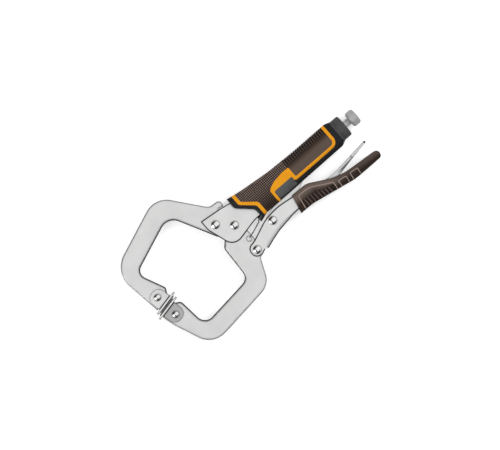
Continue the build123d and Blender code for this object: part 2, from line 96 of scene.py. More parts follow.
KNURL_MIDDLE = 0.475
KNURL_REACH = 0.235
KNURL_DEPTH = 0.3
KNURL_PITCH = 1.9
KNURL_STARTS = 24
DISH_DEPTH = 0.5
DISH_R = 5.2
DISH_SLOPE = 0.8
POINT_R = 0.02                  # radius of the small ring that closes a round end

# Return spring
WIRE_R = 0.55
COIL_R = 3.0
COIL_START = (21.9, -12.0)
COIL_LENGTH = 29.5
COIL_TILT = 17.4
COIL_TURNS = 24
COIL_STEPS = 16                 # points round each turn
SPRING_HOLE = (2.2, -19.5)
SPRING_ANCHOR = (57.5, -0.9)
EYE_R = 2.25
EYE_STEPS = 12

# Swivel pads and their teeth
PAD_TILT = 12.0
PAD_FACE = 11.15                # from the pad's pivot to its clamping face
PAD_PLATE = 2.2
FIXED_PAD_PIVOT = (-103.8, -3.9)
MOVING_PAD_PIVOT = (-101.2, -28.3)
TOOTH_PITCH = 1.6
TOOTH_HEIGHT = 1.05
TOOTH_FOOT = 0.78               # half widths of a tooth, at the plate and at its top
TOOTH_TOP = 0.42
TOOTH_SINK = 0.1                # how deep its foot is let into the plate
TEETH_HALF_X = 10.2             # half sizes of the toothed field
TEETH_HALF_Z = 8.1

# Grips
MESH_PITCH = 1.9
PANEL_START_X = 76.4
RIBS_Y = 10.6
COVER_RIB_X = 79.0
COVER_RIB_PITCH = 2.72
SLEEVE_X = 135.6
SLATE_X = (50.9, 73.4)          # panel under the lobe of the long trim
SLATE_Y = (-9.9, -0.4)
FINGER_X = (65.8, 99.6)         # field of the finger ribs
BEAD_STEPS = 6                  # faces across a raised bead
BEAD_SINK = 0.5                 # how far below the skin its underside lies
BEAD_FOOT = 0.3                 # half width of that underside, as a share of the bead
END_SHRINK = 0.02
DRAPE_FROM_Z = 40.0             # above the tool, where rays onto a skin start
STEEPEST = 0.3                  # least upward lean of a skin that takes a bead


def at(x, y, z=0.0):
    """A place in the drawing as metres in the frame."""
    return PIVOT + Vector((x, y, z)) * MM


# ------------------------------------------------------------------ meshes

def new_piece(name, mesh_data, body, material, replaced):
    """Links a mesh as a piece that rides on a body, or on none yet, in place of some CAD nodes."""
    piece = bpy.data.objects.new(name, mesh_data)
    bpy.context.scene.collection.objects.link(piece)
    piece.data.materials.append(material)
    if body:
        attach(piece, body)
    if replaced:
        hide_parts(*replaced)
    return piece


def grid_mesh(name, rows):
    """Skin over rows of points, where each row is a ring."""
    count = len(rows[0])
    verts = [point for row in rows for point in row]
    faces = []
    for i in range(len(rows) - 1):
        for j in range(count):
            k = (j + 1) % count
            faces.append((i * count + j, i * count + k, (i + 1) * count + k, (i + 1) * count + j))
    data = bpy.data.meshes.new(name)
    data.from_pydata(verts, [], faces)
    data.validate()
    work = bmesh.new()
    work.from_mesh(data)
    bmesh.ops.recalc_face_normals(work, faces=work.faces)
    work.to_mesh(data)
    work.free()
    for face in data.polygons:
        face.use_smooth = True
    return data


def ring_x(x, radius_at, count):
    """Points round the screw's axis at one x; radius_at takes the angle."""
    points = []
    for j in range(count):
        turn = 2 * math.pi * j / count
        radius = radius_at(turn)
        points.append(at(x, SCREW_Y + radius * math.cos(turn), radius * math.sin(turn)))
    return points


def thread_radius(x, turn):
    """Outside of a rounded vee thread."""
    phase = ((x - SCREW_TIP_X) / THREAD_PITCH - turn / (2 * math.pi)) % 1.0
    rise = min(1.0, max(0.0, THREAD_SLOPE * (0.5 - abs(phase - 0.5)) - THREAD_ROOT))
    return SCREW_R - THREAD_DEPTH * (1.0 - rise)


def shank_radius(x, turn):
    """Outside of the shank: a coned tip, the thread and a plain neck below the knob."""
    cone = min(1.0, TIP_SHARE + (1.0 - TIP_SHARE) * (x - SCREW_TIP_X) / TIP_LENGTH)
    plain = min(1.0, max(0.0, (x - NECK_START_X) / NECK_RUN_OUT))
    return cone * (thread_radius(x, turn) * (1 - plain) + NECK_R * plain)


def make_screw(material):
    """Threaded shank, closed at its tip and at the end hidden in the knob."""
    rows = [ring_x(SCREW_TIP_X, lambda turn: POINT_R, SCREW_SIDES)]
    x = SCREW_TIP_X
    while x < SCREW_END_X:
        rows.append(ring_x(x, lambda turn: shank_radius(x, turn), SCREW_SIDES))
        x += THREAD_PITCH / 10
    rows.append(ring_x(SCREW_END_X, lambda turn: POINT_R, SCREW_SIDES))
    data = grid_mesh("adjusting_screw_thread", rows)
    return new_piece("screw_thread", data, "adjusting_screw", material, ("adjusting_screw",))


def knob_profile(s):
    """X and radius of the knob's outside, s from 0 at the neck to 1 at the middle of the end."""
    low, high = KNOB_X
    flat_r = KNOB_R - KNOB_EDGE
    rim_start = FACE_PART + EDGE_PART
    rim_end = rim_start + RIM_PART
    end_start = rim_end + EDGE_PART
    if s < FACE_PART:
        return low, KNOB_NECK_R + (flat_r - KNOB_NECK_R) * s / FACE_PART
    if s < rim_start:
        turn = math.pi / 2 * (s - FACE_PART) / EDGE_PART
        return low + KNOB_EDGE * (1 - math.cos(turn)), flat_r + KNOB_EDGE * math.sin(turn)
    if s < rim_end:
        return low + KNOB_EDGE + (high - low - 2 * KNOB_EDGE) * (s - rim_start) / RIM_PART, KNOB_R
    if s < end_start:
        turn = math.pi / 2 * (s - rim_end) / EDGE_PART
        return high - KNOB_EDGE + KNOB_EDGE * math.sin(turn), flat_r + KNOB_EDGE * math.cos(turn)
    inner = flat_r * (1 - (s - end_start) / EDGE_PART)
    dish = DISH_DEPTH * min(1.0, max(0.0, (DISH_R - inner) / DISH_SLOPE))
    return high - dish, max(inner, POINT_R)


def knurl(x, turn):
    """0 on the points of the knurling and 1 in its grooves."""
    across = KNURL_STARTS * turn
    along = x * 2 * math.pi / KNURL_PITCH
    return 0.5 + 0.25 * (math.cos(across + along) + math.cos(across - along))


def knurl_depth(s):
    """Depth of the knurling along the outline: full on the rim and fading out at its edges."""
    share = abs(s - KNURL_MIDDLE) / KNURL_REACH
    return KNURL_DEPTH * (1.0 - share) ** 0.4 if share < 1.0 else 0.0


def make_knob(material):
    """Knob with rounded edges, fine crossed knurling on its rim and a shallow dished end."""
    rows = []
    for i in range(KNOB_STEPS + 1):
        s = i / KNOB_STEPS
        x, radius = knob_profile(s)
        depth = knurl_depth(s)
        rows.append(ring_x(x, lambda turn: radius - depth * knurl(x, turn), KNOB_SIDES))
    data = grid_mesh("knob", rows)
    return new_piece("knob", data, "knob", material, ("knurled_knob",))


# ------------------------------------------------------------------ spring

def spring_line():
    """Centre line of the wire: hook through the jaw, straight run, coil, run to the pin and eye."""
    tilt = math.radians(COIL_TILT)
    along = Vector((math.cos(tilt), math.sin(tilt), 0))
    side = Vector((-math.sin(tilt), math.cos(tilt), 0))
    start = Vector((COIL_START[0], COIL_START[1], 0))
    hole = Vector((SPRING_HOLE[0] + 0.9, SPRING_HOLE[1] + 0.3, 0))
    points = [
        hole + Vector((2.2, 0.9, -4.3)),
        hole + Vector((0.9, 0.4, -4.6)),
        hole + Vector((0, 0, -3.6)),
        hole,
        hole + Vector((0, 0, 3.6)),
        hole + Vector((1.2, 0.5, 4.4)),
        hole + Vector((4.0, 1.4, 3.9)),
        Vector((10.0, -17.0, 0.6)),
        Vector((15.0, -15.2, 0)),
        Vector((20.5, -13.1, 0)),
        start - along * 1.2,
    ]
    radius = COIL_R - WIRE_R
    steps = COIL_TURNS * COIL_STEPS
    for i in range(steps + 1):
        turn = 2 * math.pi * i / COIL_STEPS
        ease = min(1.0, (i + 2) / 10, (steps - i + 2) / 10)
        spot = start + along * (COIL_LENGTH * i / steps)
        spot += (side * math.cos(turn) + Vector((0, 0, math.sin(turn)))) * radius * ease
        points.append(spot)
    pin = Vector((SPRING_ANCHOR[0], SPRING_ANCHOR[1], 0))
    points.append(start + along * (COIL_LENGTH + 1.5))
    points.append(pin - along * 3.6)
    for i in range(EYE_STEPS + 1):
        turn = math.pi + 1.75 * math.pi * i / EYE_STEPS
        points.append(pin + (along * math.cos(turn) + side * math.sin(turn)) * EYE_R)
    return points


def tube(name, points, radius, sides=10):
    """Round wire along points, swept with a frame that never twists."""
    rows = []
    normal = Vector((0, 0, 1))
    for i, point in enumerate(points):
        ahead = points[min(i + 1, len(points) - 1)]
        behind = points[max(i - 1, 0)]
        heading = (ahead - behind).normalized()
        normal = (normal - heading * normal.dot(heading)).normalized()
        across = heading.cross(normal)
        size = radius if 0 < i < len(points) - 1 else radius * 0.05
        ring = []
        for j in range(sides):
            turn = 2 * math.pi * j / sides
            spot = point + (normal * math.cos(turn) + across * math.sin(turn)) * size
            ring.append(at(spot.x, spot.y, spot.z))
        rows.append(ring)
    return grid_mesh(name, rows)


def smooth_line(points, parts=4):
    """Catmull-Rom curve through points."""
    line = []
    for i in range(len(points) - 1):
        a = points[max(i - 1, 0)]
        b = points[i]
        c = points[i + 1]
        d = points[min(i + 2, len(points) - 1)]
        for k in range(parts):
            t = k / parts
            line.append(0.5 * (2 * b + (c - a) * t + (2 * a - 5 * b + 4 * c - d) * t * t
                               + (3 * b - 3 * c + d - a) * t * t * t))
    line.append(points[-1])
    return line


def make_spring(material):
    """The return spring from anchor pin to jaw, built in place on no body. The real one is longest when
    shut and shortens as the jaws open.
    """
    data = tube("return_spring_wire", smooth_line(spring_line(), 2), WIRE_R)
    spring = new_piece("return_spring_wire", data, None, material, ())
    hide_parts("return_spring")
    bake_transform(spring)
    return spring


# ------------------------------------------------------------------ pad teeth

def tooth(work, spot, flat, out, across, height):
    """Blunt four-sided tooth on a pad's face."""
    corners = [flat * a + across * b for a, b in ((-1, -1), (1, -1), (1, 1), (-1, 1))]
    low = [work.verts.new(spot + corner * TOOTH_FOOT * MM) for corner in corners]
    high = [work.verts.new(spot + corner * TOOTH_TOP * MM + out * height * MM) for corner in corners]
    work.faces.new(high)
    work.faces.new(low[::-1])
    for k in range(4):
        work.faces.new((low[k], low[(k + 1) % 4], high[(k + 1) % 4], high[k]))


def on_plate(along, deep):
    """True inside the toothed field of a face plate."""
    return abs(along) <= TEETH_HALF_X and abs(deep) <= TEETH_HALF_Z


def make_teeth(name, body, pivot, turn, material):
    """Staggered rows of teeth over a swivel pad's clamping face."""
    angle = math.radians(PAD_TILT + turn)
    flat = Vector((math.cos(angle), math.sin(angle), 0))
    out = Vector((math.sin(angle), -math.cos(angle), 0))
    work = bmesh.new()
    rows = int(TEETH_HALF_Z / TOOTH_PITCH)
    columns = int(TEETH_HALF_X / TOOTH_PITCH) + 1
    for row in range(-rows, rows + 1):
        deep = row * TOOTH_PITCH
        for column in range(-columns, columns + 1):
            along = column * TOOTH_PITCH + (row % 2) * TOOTH_PITCH / 2
            if not on_plate(along, deep):
                continue
            spot = Vector((pivot[0], pivot[1], deep)) + flat * along + out * (PAD_FACE - TOOTH_SINK)
            tooth(work, at(spot.x, spot.y, spot.z), flat, out, Vector((0, 0, 1)), TOOTH_HEIGHT)
    bmesh.ops.recalc_face_normals(work, faces=work.faces)
    data = bpy.data.meshes.new(name)
    work.to_mesh(data)
    work.free()
    return new_piece(name, data, body, material, ())


# ------------------------------------------------------------------ grip relief

def skin_of(name):
    """Search tree over a CAD node's surface, in the frame's metres."""
    piece = frame["nodes"][name]
    verts = [piece.matrix_world @ vertex.co for vertex in piece.data.vertices]
    faces = [tuple(face.vertices) for face in piece.data.polygons]
    return BVHTree.FromPolygons(verts, faces)


def drape(skin, spot, lift):
    """Point on the upper side of a surface at a drawing place, raised along its normal."""
    hit, normal, _, _ = skin.ray_cast(at(spot[0], spot[1], DRAPE_FROM_Z), Vector((0, 0, -1)))
    if hit is None or normal.z < STEEPEST:
        return None
    return hit + normal * (lift * MM)


def ridge_rows(skin, line, width, height):
    """Rings of a low rounded bead that follows a line over a surface."""
    rows = []
    for i, spot in enumerate(line):
        ahead = line[min(i + 1, len(line) - 1)]
        behind = line[max(i - 1, 0)]
        heading = (ahead - behind).normalized()
        across = Vector((-heading.y, heading.x, 0))
        ring = []
        for k in range(BEAD_STEPS + 1):
            u = k / BEAD_STEPS - 0.5
            lift = height * math.cos(math.pi * u) ** 0.5 - 0.1 if abs(u) < 0.5 else -0.15
            ring.append(drape(skin, spot + across * (u * width), lift))
        ring.append(drape(skin, spot + across * (width * BEAD_FOOT), -BEAD_SINK))
        ring.append(drape(skin, spot - across * (width * BEAD_FOOT), -BEAD_SINK))
        if None in ring:
            continue
        rows.append(ring)
    return rows


def close_ends(rows):
    """Adds a shrunken ring at both ends so that the bead is shut."""
    shut = list(rows)
    for index, place in ((0, 0), (-1, len(rows) + 1)):
        ring = rows[index]
        middle = sum(ring, Vector((0, 0, 0))) / len(ring)
        shut.insert(place, [middle + (point - middle) * END_SHRINK for point in ring])
    return shut


def both_sides(rows):
    """The same rings mirrored to the tool's under side."""
    return [[Vector((point.x, point.y, 2 * PIVOT.z - point.z)) for point in ring] for ring in rows]


def join_meshes(name, meshes):
    """One mesh out of several."""
    work = bmesh.new()
    for data in meshes:
        work.from_mesh(data)
        bpy.data.meshes.remove(data)
    joined = bpy.data.meshes.new(name)
    work.to_mesh(joined)
    work.free()
    for face in joined.polygons:
        face.use_smooth = True
    return joined


def flat_line(points, parts=6):
    """Smooth line through places in the drawing."""
    return smooth_line([Vector((x, y, 0)) for x, y in points], parts)


def make_beads(name, node_name, lines, width, height, body, material):
    """Raised beads along lines on both sides of a grip."""
    skin = skin_of(node_name)
    meshes = []
    for line in lines:
        rows = ridge_rows(skin, line, width, height)
        if len(rows) < 3:
            continue
        rows = close_ends(rows)
        meshes.append(grid_mesh(name, rows))
        meshes.append(grid_mesh(name, both_sides(rows)))
    return new_piece(name, join_meshes(name, meshes), body, material, ())


FINGER_PANEL = [
    (63.7, -33.6), (64.9, -27.0), (66.1, -20.6), (67.8, -19.4), (72.0, -19.5), (76.3, -19.8),
    (80.0, -20.7), (84.0, -22.6), (88.6, -25.1), (94.7, -28.7), (98.6, -30.6), (100.5, -32.2),
    (100.5, -35.5), (99.8, -40.0),
]
MIDDLE_PANEL = [
    (105.2, -41.4), (105.3, -35.0), (106.3, -34.1), (113.0, -35.1), (114.1, -36.2), (113.2, -42.0),
]
REAR_PANEL = [
    (118.2, -42.3), (119.1, -36.6), (120.2, -35.7), (126.8, -36.4), (127.7, -37.6), (127.0, -42.6),
]
RIB_COUNT = 8
RIB_PITCH = 3.7
RIB_START_X = 68.3
RIB_START_Y = -25.4
RIB_SHAPE = [(0.0, 0.0), (0.1, -2.5), (0.2, -5.0), (0.2, -8.0), (0.1, -12.0)]


def finger_ribs():
    """Lines of the short upright ribs in the finger panel, each lower than the one before."""
    lines = []
    for k in range(RIB_COUNT):
        x = RIB_START_X + RIB_PITCH * k
        top = RIB_START_Y - 0.42 * k - 0.075 * k * k
        lines.append(flat_line([(x + lean, top + drop) for lean, drop in RIB_SHAPE], 8))
    return lines


# ------------------------------------------------------------------ materials

def node(tree, kind, **values):
    """New shader node with some inputs set by name."""
    made = tree.nodes.new(kind)
    for key, value in values.items():
        made.inputs[key.replace("_", " ")].default_value = value
    return made


def start_material(name):
    """Material with its node tree, its Principled shader and drawing coordinates in mm."""
    material = bpy.data.materials.new(name)
    material.use_nodes = True
    tree = material.node_tree
    shader = tree.nodes["Principled BSDF"]
    place = tree.nodes.new("ShaderNodeTexCoord")
    return material, tree, shader, place.outputs["Object"]


def noise(tree, place, size, detail=3.0):
    """Noise with spots of about that size in mm."""
    made = node(tree, "ShaderNodeTexNoise", Scale=1000.0 / size, Detail=detail)
    tree.links.new(place, made.inputs["Vector"])
    return made.outputs["Fac"]


def spread(tree, value, low, high, start=0.3, end=0.7):
    """Maps a 0-1 value onto a range."""
    made = tree.nodes.new("ShaderNodeMapRange")
    made.inputs["From Min"].default_value = start
    made.inputs["From Max"].default_value = end
    made.inputs["To Min"].default_value = low
    made.inputs["To Max"].default_value = high
    tree.links.new(value, made.inputs["Value"])
    return made.outputs["Result"]


def ramp(tree, value, low, high, start=0.3, end=0.7):
    """Colour between low and high as value goes from start to end."""
    made = tree.nodes.new("ShaderNodeValToRGB")
    made.color_ramp.elements[0].position = start
    made.color_ramp.elements[0].color = (*low, 1)
    made.color_ramp.elements[1].position = end
    made.color_ramp.elements[1].color = (*high, 1)
    tree.links.new(value, made.inputs["Fac"])
    return made.outputs["Color"]


def bump(tree, shader, height, strength, depth_mm, before=None):
    """Gives the shader a bump map, on top of another normal if there is one."""
    made = node(tree, "ShaderNodeBump", Strength=strength, Distance=depth_mm * MM)
    tree.links.new(height, made.inputs["Height"])
    if before:
        tree.links.new(before, made.inputs["Normal"])
    tree.links.new(made.outputs["Normal"], shader.inputs["Normal"])


def plated_steel(name, low, high, rough, grain=0.05, metal=1.0):
    """Plated steel with a faint cloudy colour, uneven gloss and a fine grain."""
    material, tree, shader, place = start_material(name)
    shader.inputs["Metallic"].default_value = metal
    cloud = noise(tree, place, 18.0, 4.0)
    tree.links.new(ramp(tree, cloud, low, high), shader.inputs["Base Color"])
    streak = noise(tree, place, 1.4, 3.0)
    tree.links.new(spread(tree, streak, rough * 0.82, rough * 1.2), shader.inputs["Roughness"])
    bump(tree, shader, streak, grain, 0.05)
    return material


def moulded(name, low, high, rough, grain_size=0.5, grain=0.25):
    """Moulded plastic or rubber with a fine eroded grain."""
    material, tree, shader, place = start_material(name)
    shader.inputs["Specular IOR Level"].default_value = 0.15
    cloud = noise(tree, place, 9.0, 4.0)
    tree.links.new(ramp(tree, cloud, low, high), shader.inputs["Base Color"])
    fine = noise(tree, place, grain_size, 2.0)
    tree.links.new(spread(tree, fine, rough * 0.85, rough * 1.15), shader.inputs["Roughness"])
    bump(tree, shader, fine, grain, 0.06)
    return material


def maths(tree, kind, first, second=0.0):
    """Math node on sockets or plain numbers."""
    made = tree.nodes.new("ShaderNodeMath")
    made.operation = kind
    for k, value in enumerate((first, second)):
        if isinstance(value, (int, float)):
            made.inputs[k].default_value = value
        else:
            tree.links.new(value, made.inputs[k])
    return made.outputs[0]


def drawing_axes(tree, place):
    """Sockets with the drawing's x, y and z in mm."""
    shift = tree.nodes.new("ShaderNodeMapping")
    shift.vector_type = "POINT"
    shift.inputs["Location"].default_value = -PIVOT * 1000
    shift.inputs["Scale"].default_value = (1000, 1000, 1000)
    tree.links.new(place, shift.inputs["Vector"])
    split = tree.nodes.new("ShaderNodeSeparateXYZ")
    tree.links.new(shift.outputs["Vector"], split.inputs["Vector"])
    return split.outputs


def step(tree, value, edge, width=0.15):
    """0 below an edge and 1 above it, with a short slope between."""
    return spread(tree, value, 0.0, 1.0, edge - width, edge + width)


def both(tree, *masks):
    """Product of masks."""
    total = masks[0]
    for mask in masks[1:]:
        total = maths(tree, "MULTIPLY", total, mask)
    return total


def flip(tree, mask):
    """One minus a mask."""
    return maths(tree, "SUBTRACT", 1.0, mask)


def blend_colour(tree, mask, low, high):
    """Colour socket going from low to high with a mask."""
    made = tree.nodes.new("ShaderNodeMix")
    made.data_type = "RGBA"
    tree.links.new(mask, made.inputs["Factor"])
    for socket, value in ((made.inputs[6], low), (made.inputs[7], high)):
        if isinstance(value, tuple):
            socket.default_value = (*value, 1)
        else:
            tree.links.new(value, socket)
    return made.outputs[2]


def upright_axis(tree, place, y, z):
    """Y on the tool's two sides and Z on its narrow top and bottom, to lay a pattern on both."""
    split = tree.nodes.new("ShaderNodeSeparateXYZ")
    tree.links.new(place.node.outputs["Normal"], split.inputs["Vector"])
    top = step(tree, maths(tree, "ABSOLUTE", split.outputs["Y"]), 0.72, 0.02)
    return maths(tree, "ADD", both(tree, y, flip(tree, top)), both(tree, z, top))


def mesh_cover(name):
    """Soft cover: a woven field of small pads, a smooth panel behind it and a ribbed back, with painted
    highlight and shade on all three.
    """
    material, tree, shader, place = start_material(name)
    shader.inputs["Specular IOR Level"].default_value = 0.15
    x, y, z = drawing_axes(tree, place)
    behind = step(tree, x, PANEL_START_X, 0.2)
    back = step(tree, y, RIBS_Y, 0.3)
    across = upright_axis(tree, place, y, z)
    row = maths(tree, "MULTIPLY", maths(tree, "ADD", x, across), math.pi / MESH_PITCH)
    column = maths(tree, "MULTIPLY", maths(tree, "SUBTRACT", x, across), math.pi / MESH_PITCH)
    weave = maths(tree, "MULTIPLY", maths(tree, "SINE", row), maths(tree, "SINE", column))
    dots = spread(tree, weave, 0.0, 1.0, 0.0, 0.45)
    # Painted highlight: the pads lighter towards +Y, where the rounded cover catches the light; painted
    # shade in the near black gaps between them.
    rise = spread(tree, y, 0.0, 1.0, -6.0, 9.0)
    pad = blend_colour(tree, rise, (0.078, 0.052, 0.037), (0.30, 0.22, 0.185))
    woven = blend_colour(tree, dots, (0.016, 0.0085, 0.006), pad)
    # Painted shade in the grooves of the ribbed back, with lighter crests as painted highlight.
    turn = maths(tree, "MULTIPLY", maths(tree, "SUBTRACT", x, COVER_RIB_X), 2 * math.pi / COVER_RIB_PITCH)
    crest = spread(tree, maths(tree, "COSINE", turn), 1.0, 0.0, -0.5, 0.4)
    ribbed = blend_colour(tree, crest, (0.010, 0.006, 0.0045), (0.075, 0.052, 0.043))
    # Painted shade: the smooth panel darker towards its top rim.
    fall = spread(tree, y, 1.0, 0.0, 4.0, 9.5)
    smooth = blend_colour(tree, fall, (0.036, 0.021, 0.015), (0.118, 0.084, 0.066))
    rear = blend_colour(tree, back, smooth, ribbed)
    tree.links.new(blend_colour(tree, behind, woven, rear), shader.inputs["Base Color"])
    fine = noise(tree, place, 0.5, 2.0)
    tree.links.new(spread(tree, fine, 0.42, 0.6), shader.inputs["Roughness"])
    first = node(tree, "ShaderNodeBump", Strength=0.8, Distance=0.3 * MM)
    tree.links.new(both(tree, dots, flip(tree, behind)), first.inputs["Height"])
    bump(tree, shader, fine, 0.2, 0.05, first.outputs["Normal"])
    return material


def finger_grip(name):
    """Lower grip: a painted highlight in a band along its upper side and painted shade in the field
    between the finger ribs.
    """
    material, tree, shader, place = start_material(name)
    shader.inputs["Specular IOR Level"].default_value = 0.15
    x, y, _ = drawing_axes(tree, place)
    # Painted highlight: lighter in a band below the grip's upper outline, standing in for light on its
    # crowned side.
    bow = maths(tree, "MULTIPLY", spread(tree, x, 0.0, 1.0, 82.0, 106.0), 14.6)
    bow = maths(tree, "ADD", bow, maths(tree, "MULTIPLY", spread(tree, x, 0.0, 1.0, 106.0, 150.0), 4.2))
    lift = maths(tree, "MULTIPLY", spread(tree, x, 0.0, 1.0, 98.0, 108.0), 4.0)
    bow = maths(tree, "SUBTRACT", bow, lift)
    depth = maths(tree, "ADD", maths(tree, "ADD", y, bow), 15.4)
    upper_side_highlight = spread(tree, depth, 0.0, 1.0, -11.5, -5.0)
    upper_side_highlight = both(tree, upper_side_highlight, spread(tree, x, 1.0, 0.75, 98.0, 108.0))
    cloud = noise(tree, place, 9.0, 4.0)
    dark = ramp(tree, cloud, (0.024, 0.0140, 0.0100), (0.034, 0.0205, 0.0150))
    colour = blend_colour(tree, upper_side_highlight, dark, (0.165, 0.122, 0.102))
    # Painted shade: the field between the finger ribs is made darkest.
    inside = both(tree, step(tree, x, FINGER_X[0], 0.4), flip(tree, step(tree, x, FINGER_X[1], 0.4)))
    slope = maths(tree, "MULTIPLY", spread(tree, x, 0.0, 1.0, 66.0, 99.0), 7.0)
    inside = both(tree, inside, flip(tree, step(tree, maths(tree, "ADD", y, slope), -25.2, 1.2)))
    colour = blend_colour(tree, inside, colour, (0.018, 0.0105, 0.0078))
    tree.links.new(colour, shader.inputs["Base Color"])
    fine = noise(tree, place, 0.5, 2.0)
    tree.links.new(spread(tree, fine, 0.42, 0.6), shader.inputs["Roughness"])
    bump(tree, shader, fine, 0.25, 0.06)
    return material


def two_tone_base(name):
    """Hard base of the upper grip: near black, with a slate panel under the lobe of the trim."""
    material, tree, shader, place = start_material(name)
    shader.inputs["Specular IOR Level"].default_value = 0.15
    x, y, _ = drawing_axes(tree, place)
    wide = both(tree, step(tree, x, SLATE_X[0]), flip(tree, step(tree, x, SLATE_X[1])))
    panel = both(tree, wide, step(tree, y, SLATE_Y[0]), flip(tree, step(tree, y, SLATE_Y[1])))
    cloud = noise(tree, place, 9.0, 4.0)
    dark = ramp(tree, cloud, (0.012, 0.0130, 0.0145), (0.022, 0.0235, 0.026))
    slate = ramp(tree, cloud, (0.080, 0.083, 0.082), (0.110, 0.114, 0.112))
    colour = blend_colour(tree, panel, dark, slate)
    sleeve = step(tree, x, SLEEVE_X, 0.3)
    tree.links.new(blend_colour(tree, sleeve, colour, (0.078, 0.078, 0.077)), shader.inputs["Base Color"])
    fine = noise(tree, place, 0.5, 2.0)
    tree.links.new(spread(tree, fine, 0.38, 0.52), shader.inputs["Roughness"])
    bump(tree, shader, fine, 0.25, 0.06)
    return material


def eased_normal(tree, radius):
    """Normal as if the edges were rounded, by a radius in mm or a socket, and its upward share."""
    eased = tree.nodes.new("ShaderNodeBevel")
    eased.samples = 6
    if isinstance(radius, float):
        eased.inputs["Radius"].default_value = radius * MM
    else:
        tree.links.new(maths(tree, "MULTIPLY", radius, MM), eased.inputs["Radius"])
    local = tree.nodes.new("ShaderNodeVectorTransform")
    local.vector_type = "NORMAL"
    local.convert_from = "WORLD"
    local.convert_to = "OBJECT"
    tree.links.new(eased.outputs["Normal"], local.inputs["Vector"])
    split = tree.nodes.new("ShaderNodeSeparateXYZ")
    tree.links.new(local.outputs["Vector"], split.inputs["Vector"])
    return eased.outputs["Normal"], maths(tree, "ABSOLUTE", split.outputs["Z"])


def crease_shade(tree, colour, reach, depth):
    """Darkens a colour in corners and beside raised pieces, as far as reach in mm."""
    crease = tree.nodes.new("ShaderNodeAmbientOcclusion")
    crease.samples = 8
    crease.inputs["Distance"].default_value = reach * MM
    openness = spread(tree, crease.outputs["AO"], depth, 1.0, 0.45, 0.93)
    dark = tree.nodes.new("ShaderNodeVectorMath")
    dark.operation = "SCALE"
    tree.links.new(colour, dark.inputs[0])
    tree.links.new(openness, dark.inputs["Scale"])
    return dark.outputs["Vector"]


def bend_mask(tree):
    """1 where the surface itself is rounded over between the tool's side and its edge."""
    shape = tree.nodes.new("ShaderNodeNewGeometry")
    local = tree.nodes.new("ShaderNodeVectorTransform")
    local.vector_type = "NORMAL"
    local.convert_from = "WORLD"
    local.convert_to = "OBJECT"
    tree.links.new(shape.outputs["True Normal"], local.inputs["Vector"])
    split = tree.nodes.new("ShaderNodeSeparateXYZ")
    tree.links.new(local.outputs["Vector"], split.inputs["Vector"])
    up = maths(tree, "ABSOLUTE", split.outputs["Z"])
    return both(tree, flip(tree, step(tree, up, 0.975, 0.015)), step(tree, up, 0.12, 0.1))


def sheet_steel(name, low, high, rough, edge, edge_shade=0.12, marks=None, crease=(1.4, 0.4), bends=1.0,
                metal=1.0):
    """Plated sheet or plate whose bends, edges and creases carry painted shade, darker than its flats.

    edge is the width of its rounded edges, in mm or as a function that returns a socket, and the
    argument after it the tone of the painted shade on them. marks paints over the colour, crease is the
    reach and tone of the painted shade in its corners, bends how dark the painted shade on its bends is,
    and metal how mirror-like it is.
    """
    material, tree, shader, place = start_material(name)
    shader.inputs["Metallic"].default_value = metal
    cloud = noise(tree, place, 18.0, 4.0)
    flat = ramp(tree, cloud, low, high)
    normal, up = eased_normal(tree, edge(tree, place) if callable(edge) else edge)
    # Painted shade: rounded edges take a darker tone, standing in for their shade and dark reflections.
    turned = both(tree, flip(tree, step(tree, up, 0.94, 0.045)), step(tree, up, 0.12, 0.1))
    painted_edge_shade = (low[0] * edge_shade, low[1] * edge_shade, low[2] * edge_shade)
    colour = blend_colour(tree, turned, flat, painted_edge_shade)
    # Painted shade and reflection: bends turn near black, standing in for the dark surroundings they
    # mirror.
    bend = both(tree, bend_mask(tree), bends)
    colour = blend_colour(tree, bend, colour, (0.05, 0.05, 0.05))
    if marks:
        colour = marks(tree, place, colour)
    tree.links.new(crease_shade(tree, colour, *crease), shader.inputs["Base Color"])
    streak = noise(tree, place, 1.4, 3.0)
    tree.links.new(spread(tree, streak, rough * 0.95, rough * 1.05), shader.inputs["Roughness"])
    bump(tree, shader, streak, 0.02, 0.05, normal)
    return material


def lever_shadow(tree, place, flat):
    """Painted shade on the flank of the lever's channel, below its bright top web."""
    x, y, _ = drawing_axes(tree, place)
    line = maths(tree, "SUBTRACT", y, maths(tree, "MULTIPLY", maths(tree, "SUBTRACT", x, 105.0), 0.085))
    flank = flip(tree, step(tree, line, -27.6, 0.35))
    flank = both(tree, flank, spread(tree, x, 0.0, 1.0, 109.0, 116.0))
    return blend_colour(tree, flank, flat, (0.14, 0.14, 0.14))


def shell_edge(tree, place):
    """Width of the shells' rounded edges and of the painted shade along them: wide along the bottom of
    the lower handle's bend.
    """
    x, y, _ = drawing_axes(tree, place)
    bottom = both(tree, step(tree, x, 10.3), flip(tree, step(tree, y, -28.0)))
    return spread(tree, bottom, 0.5, 5.0, 0.0, 1.0)


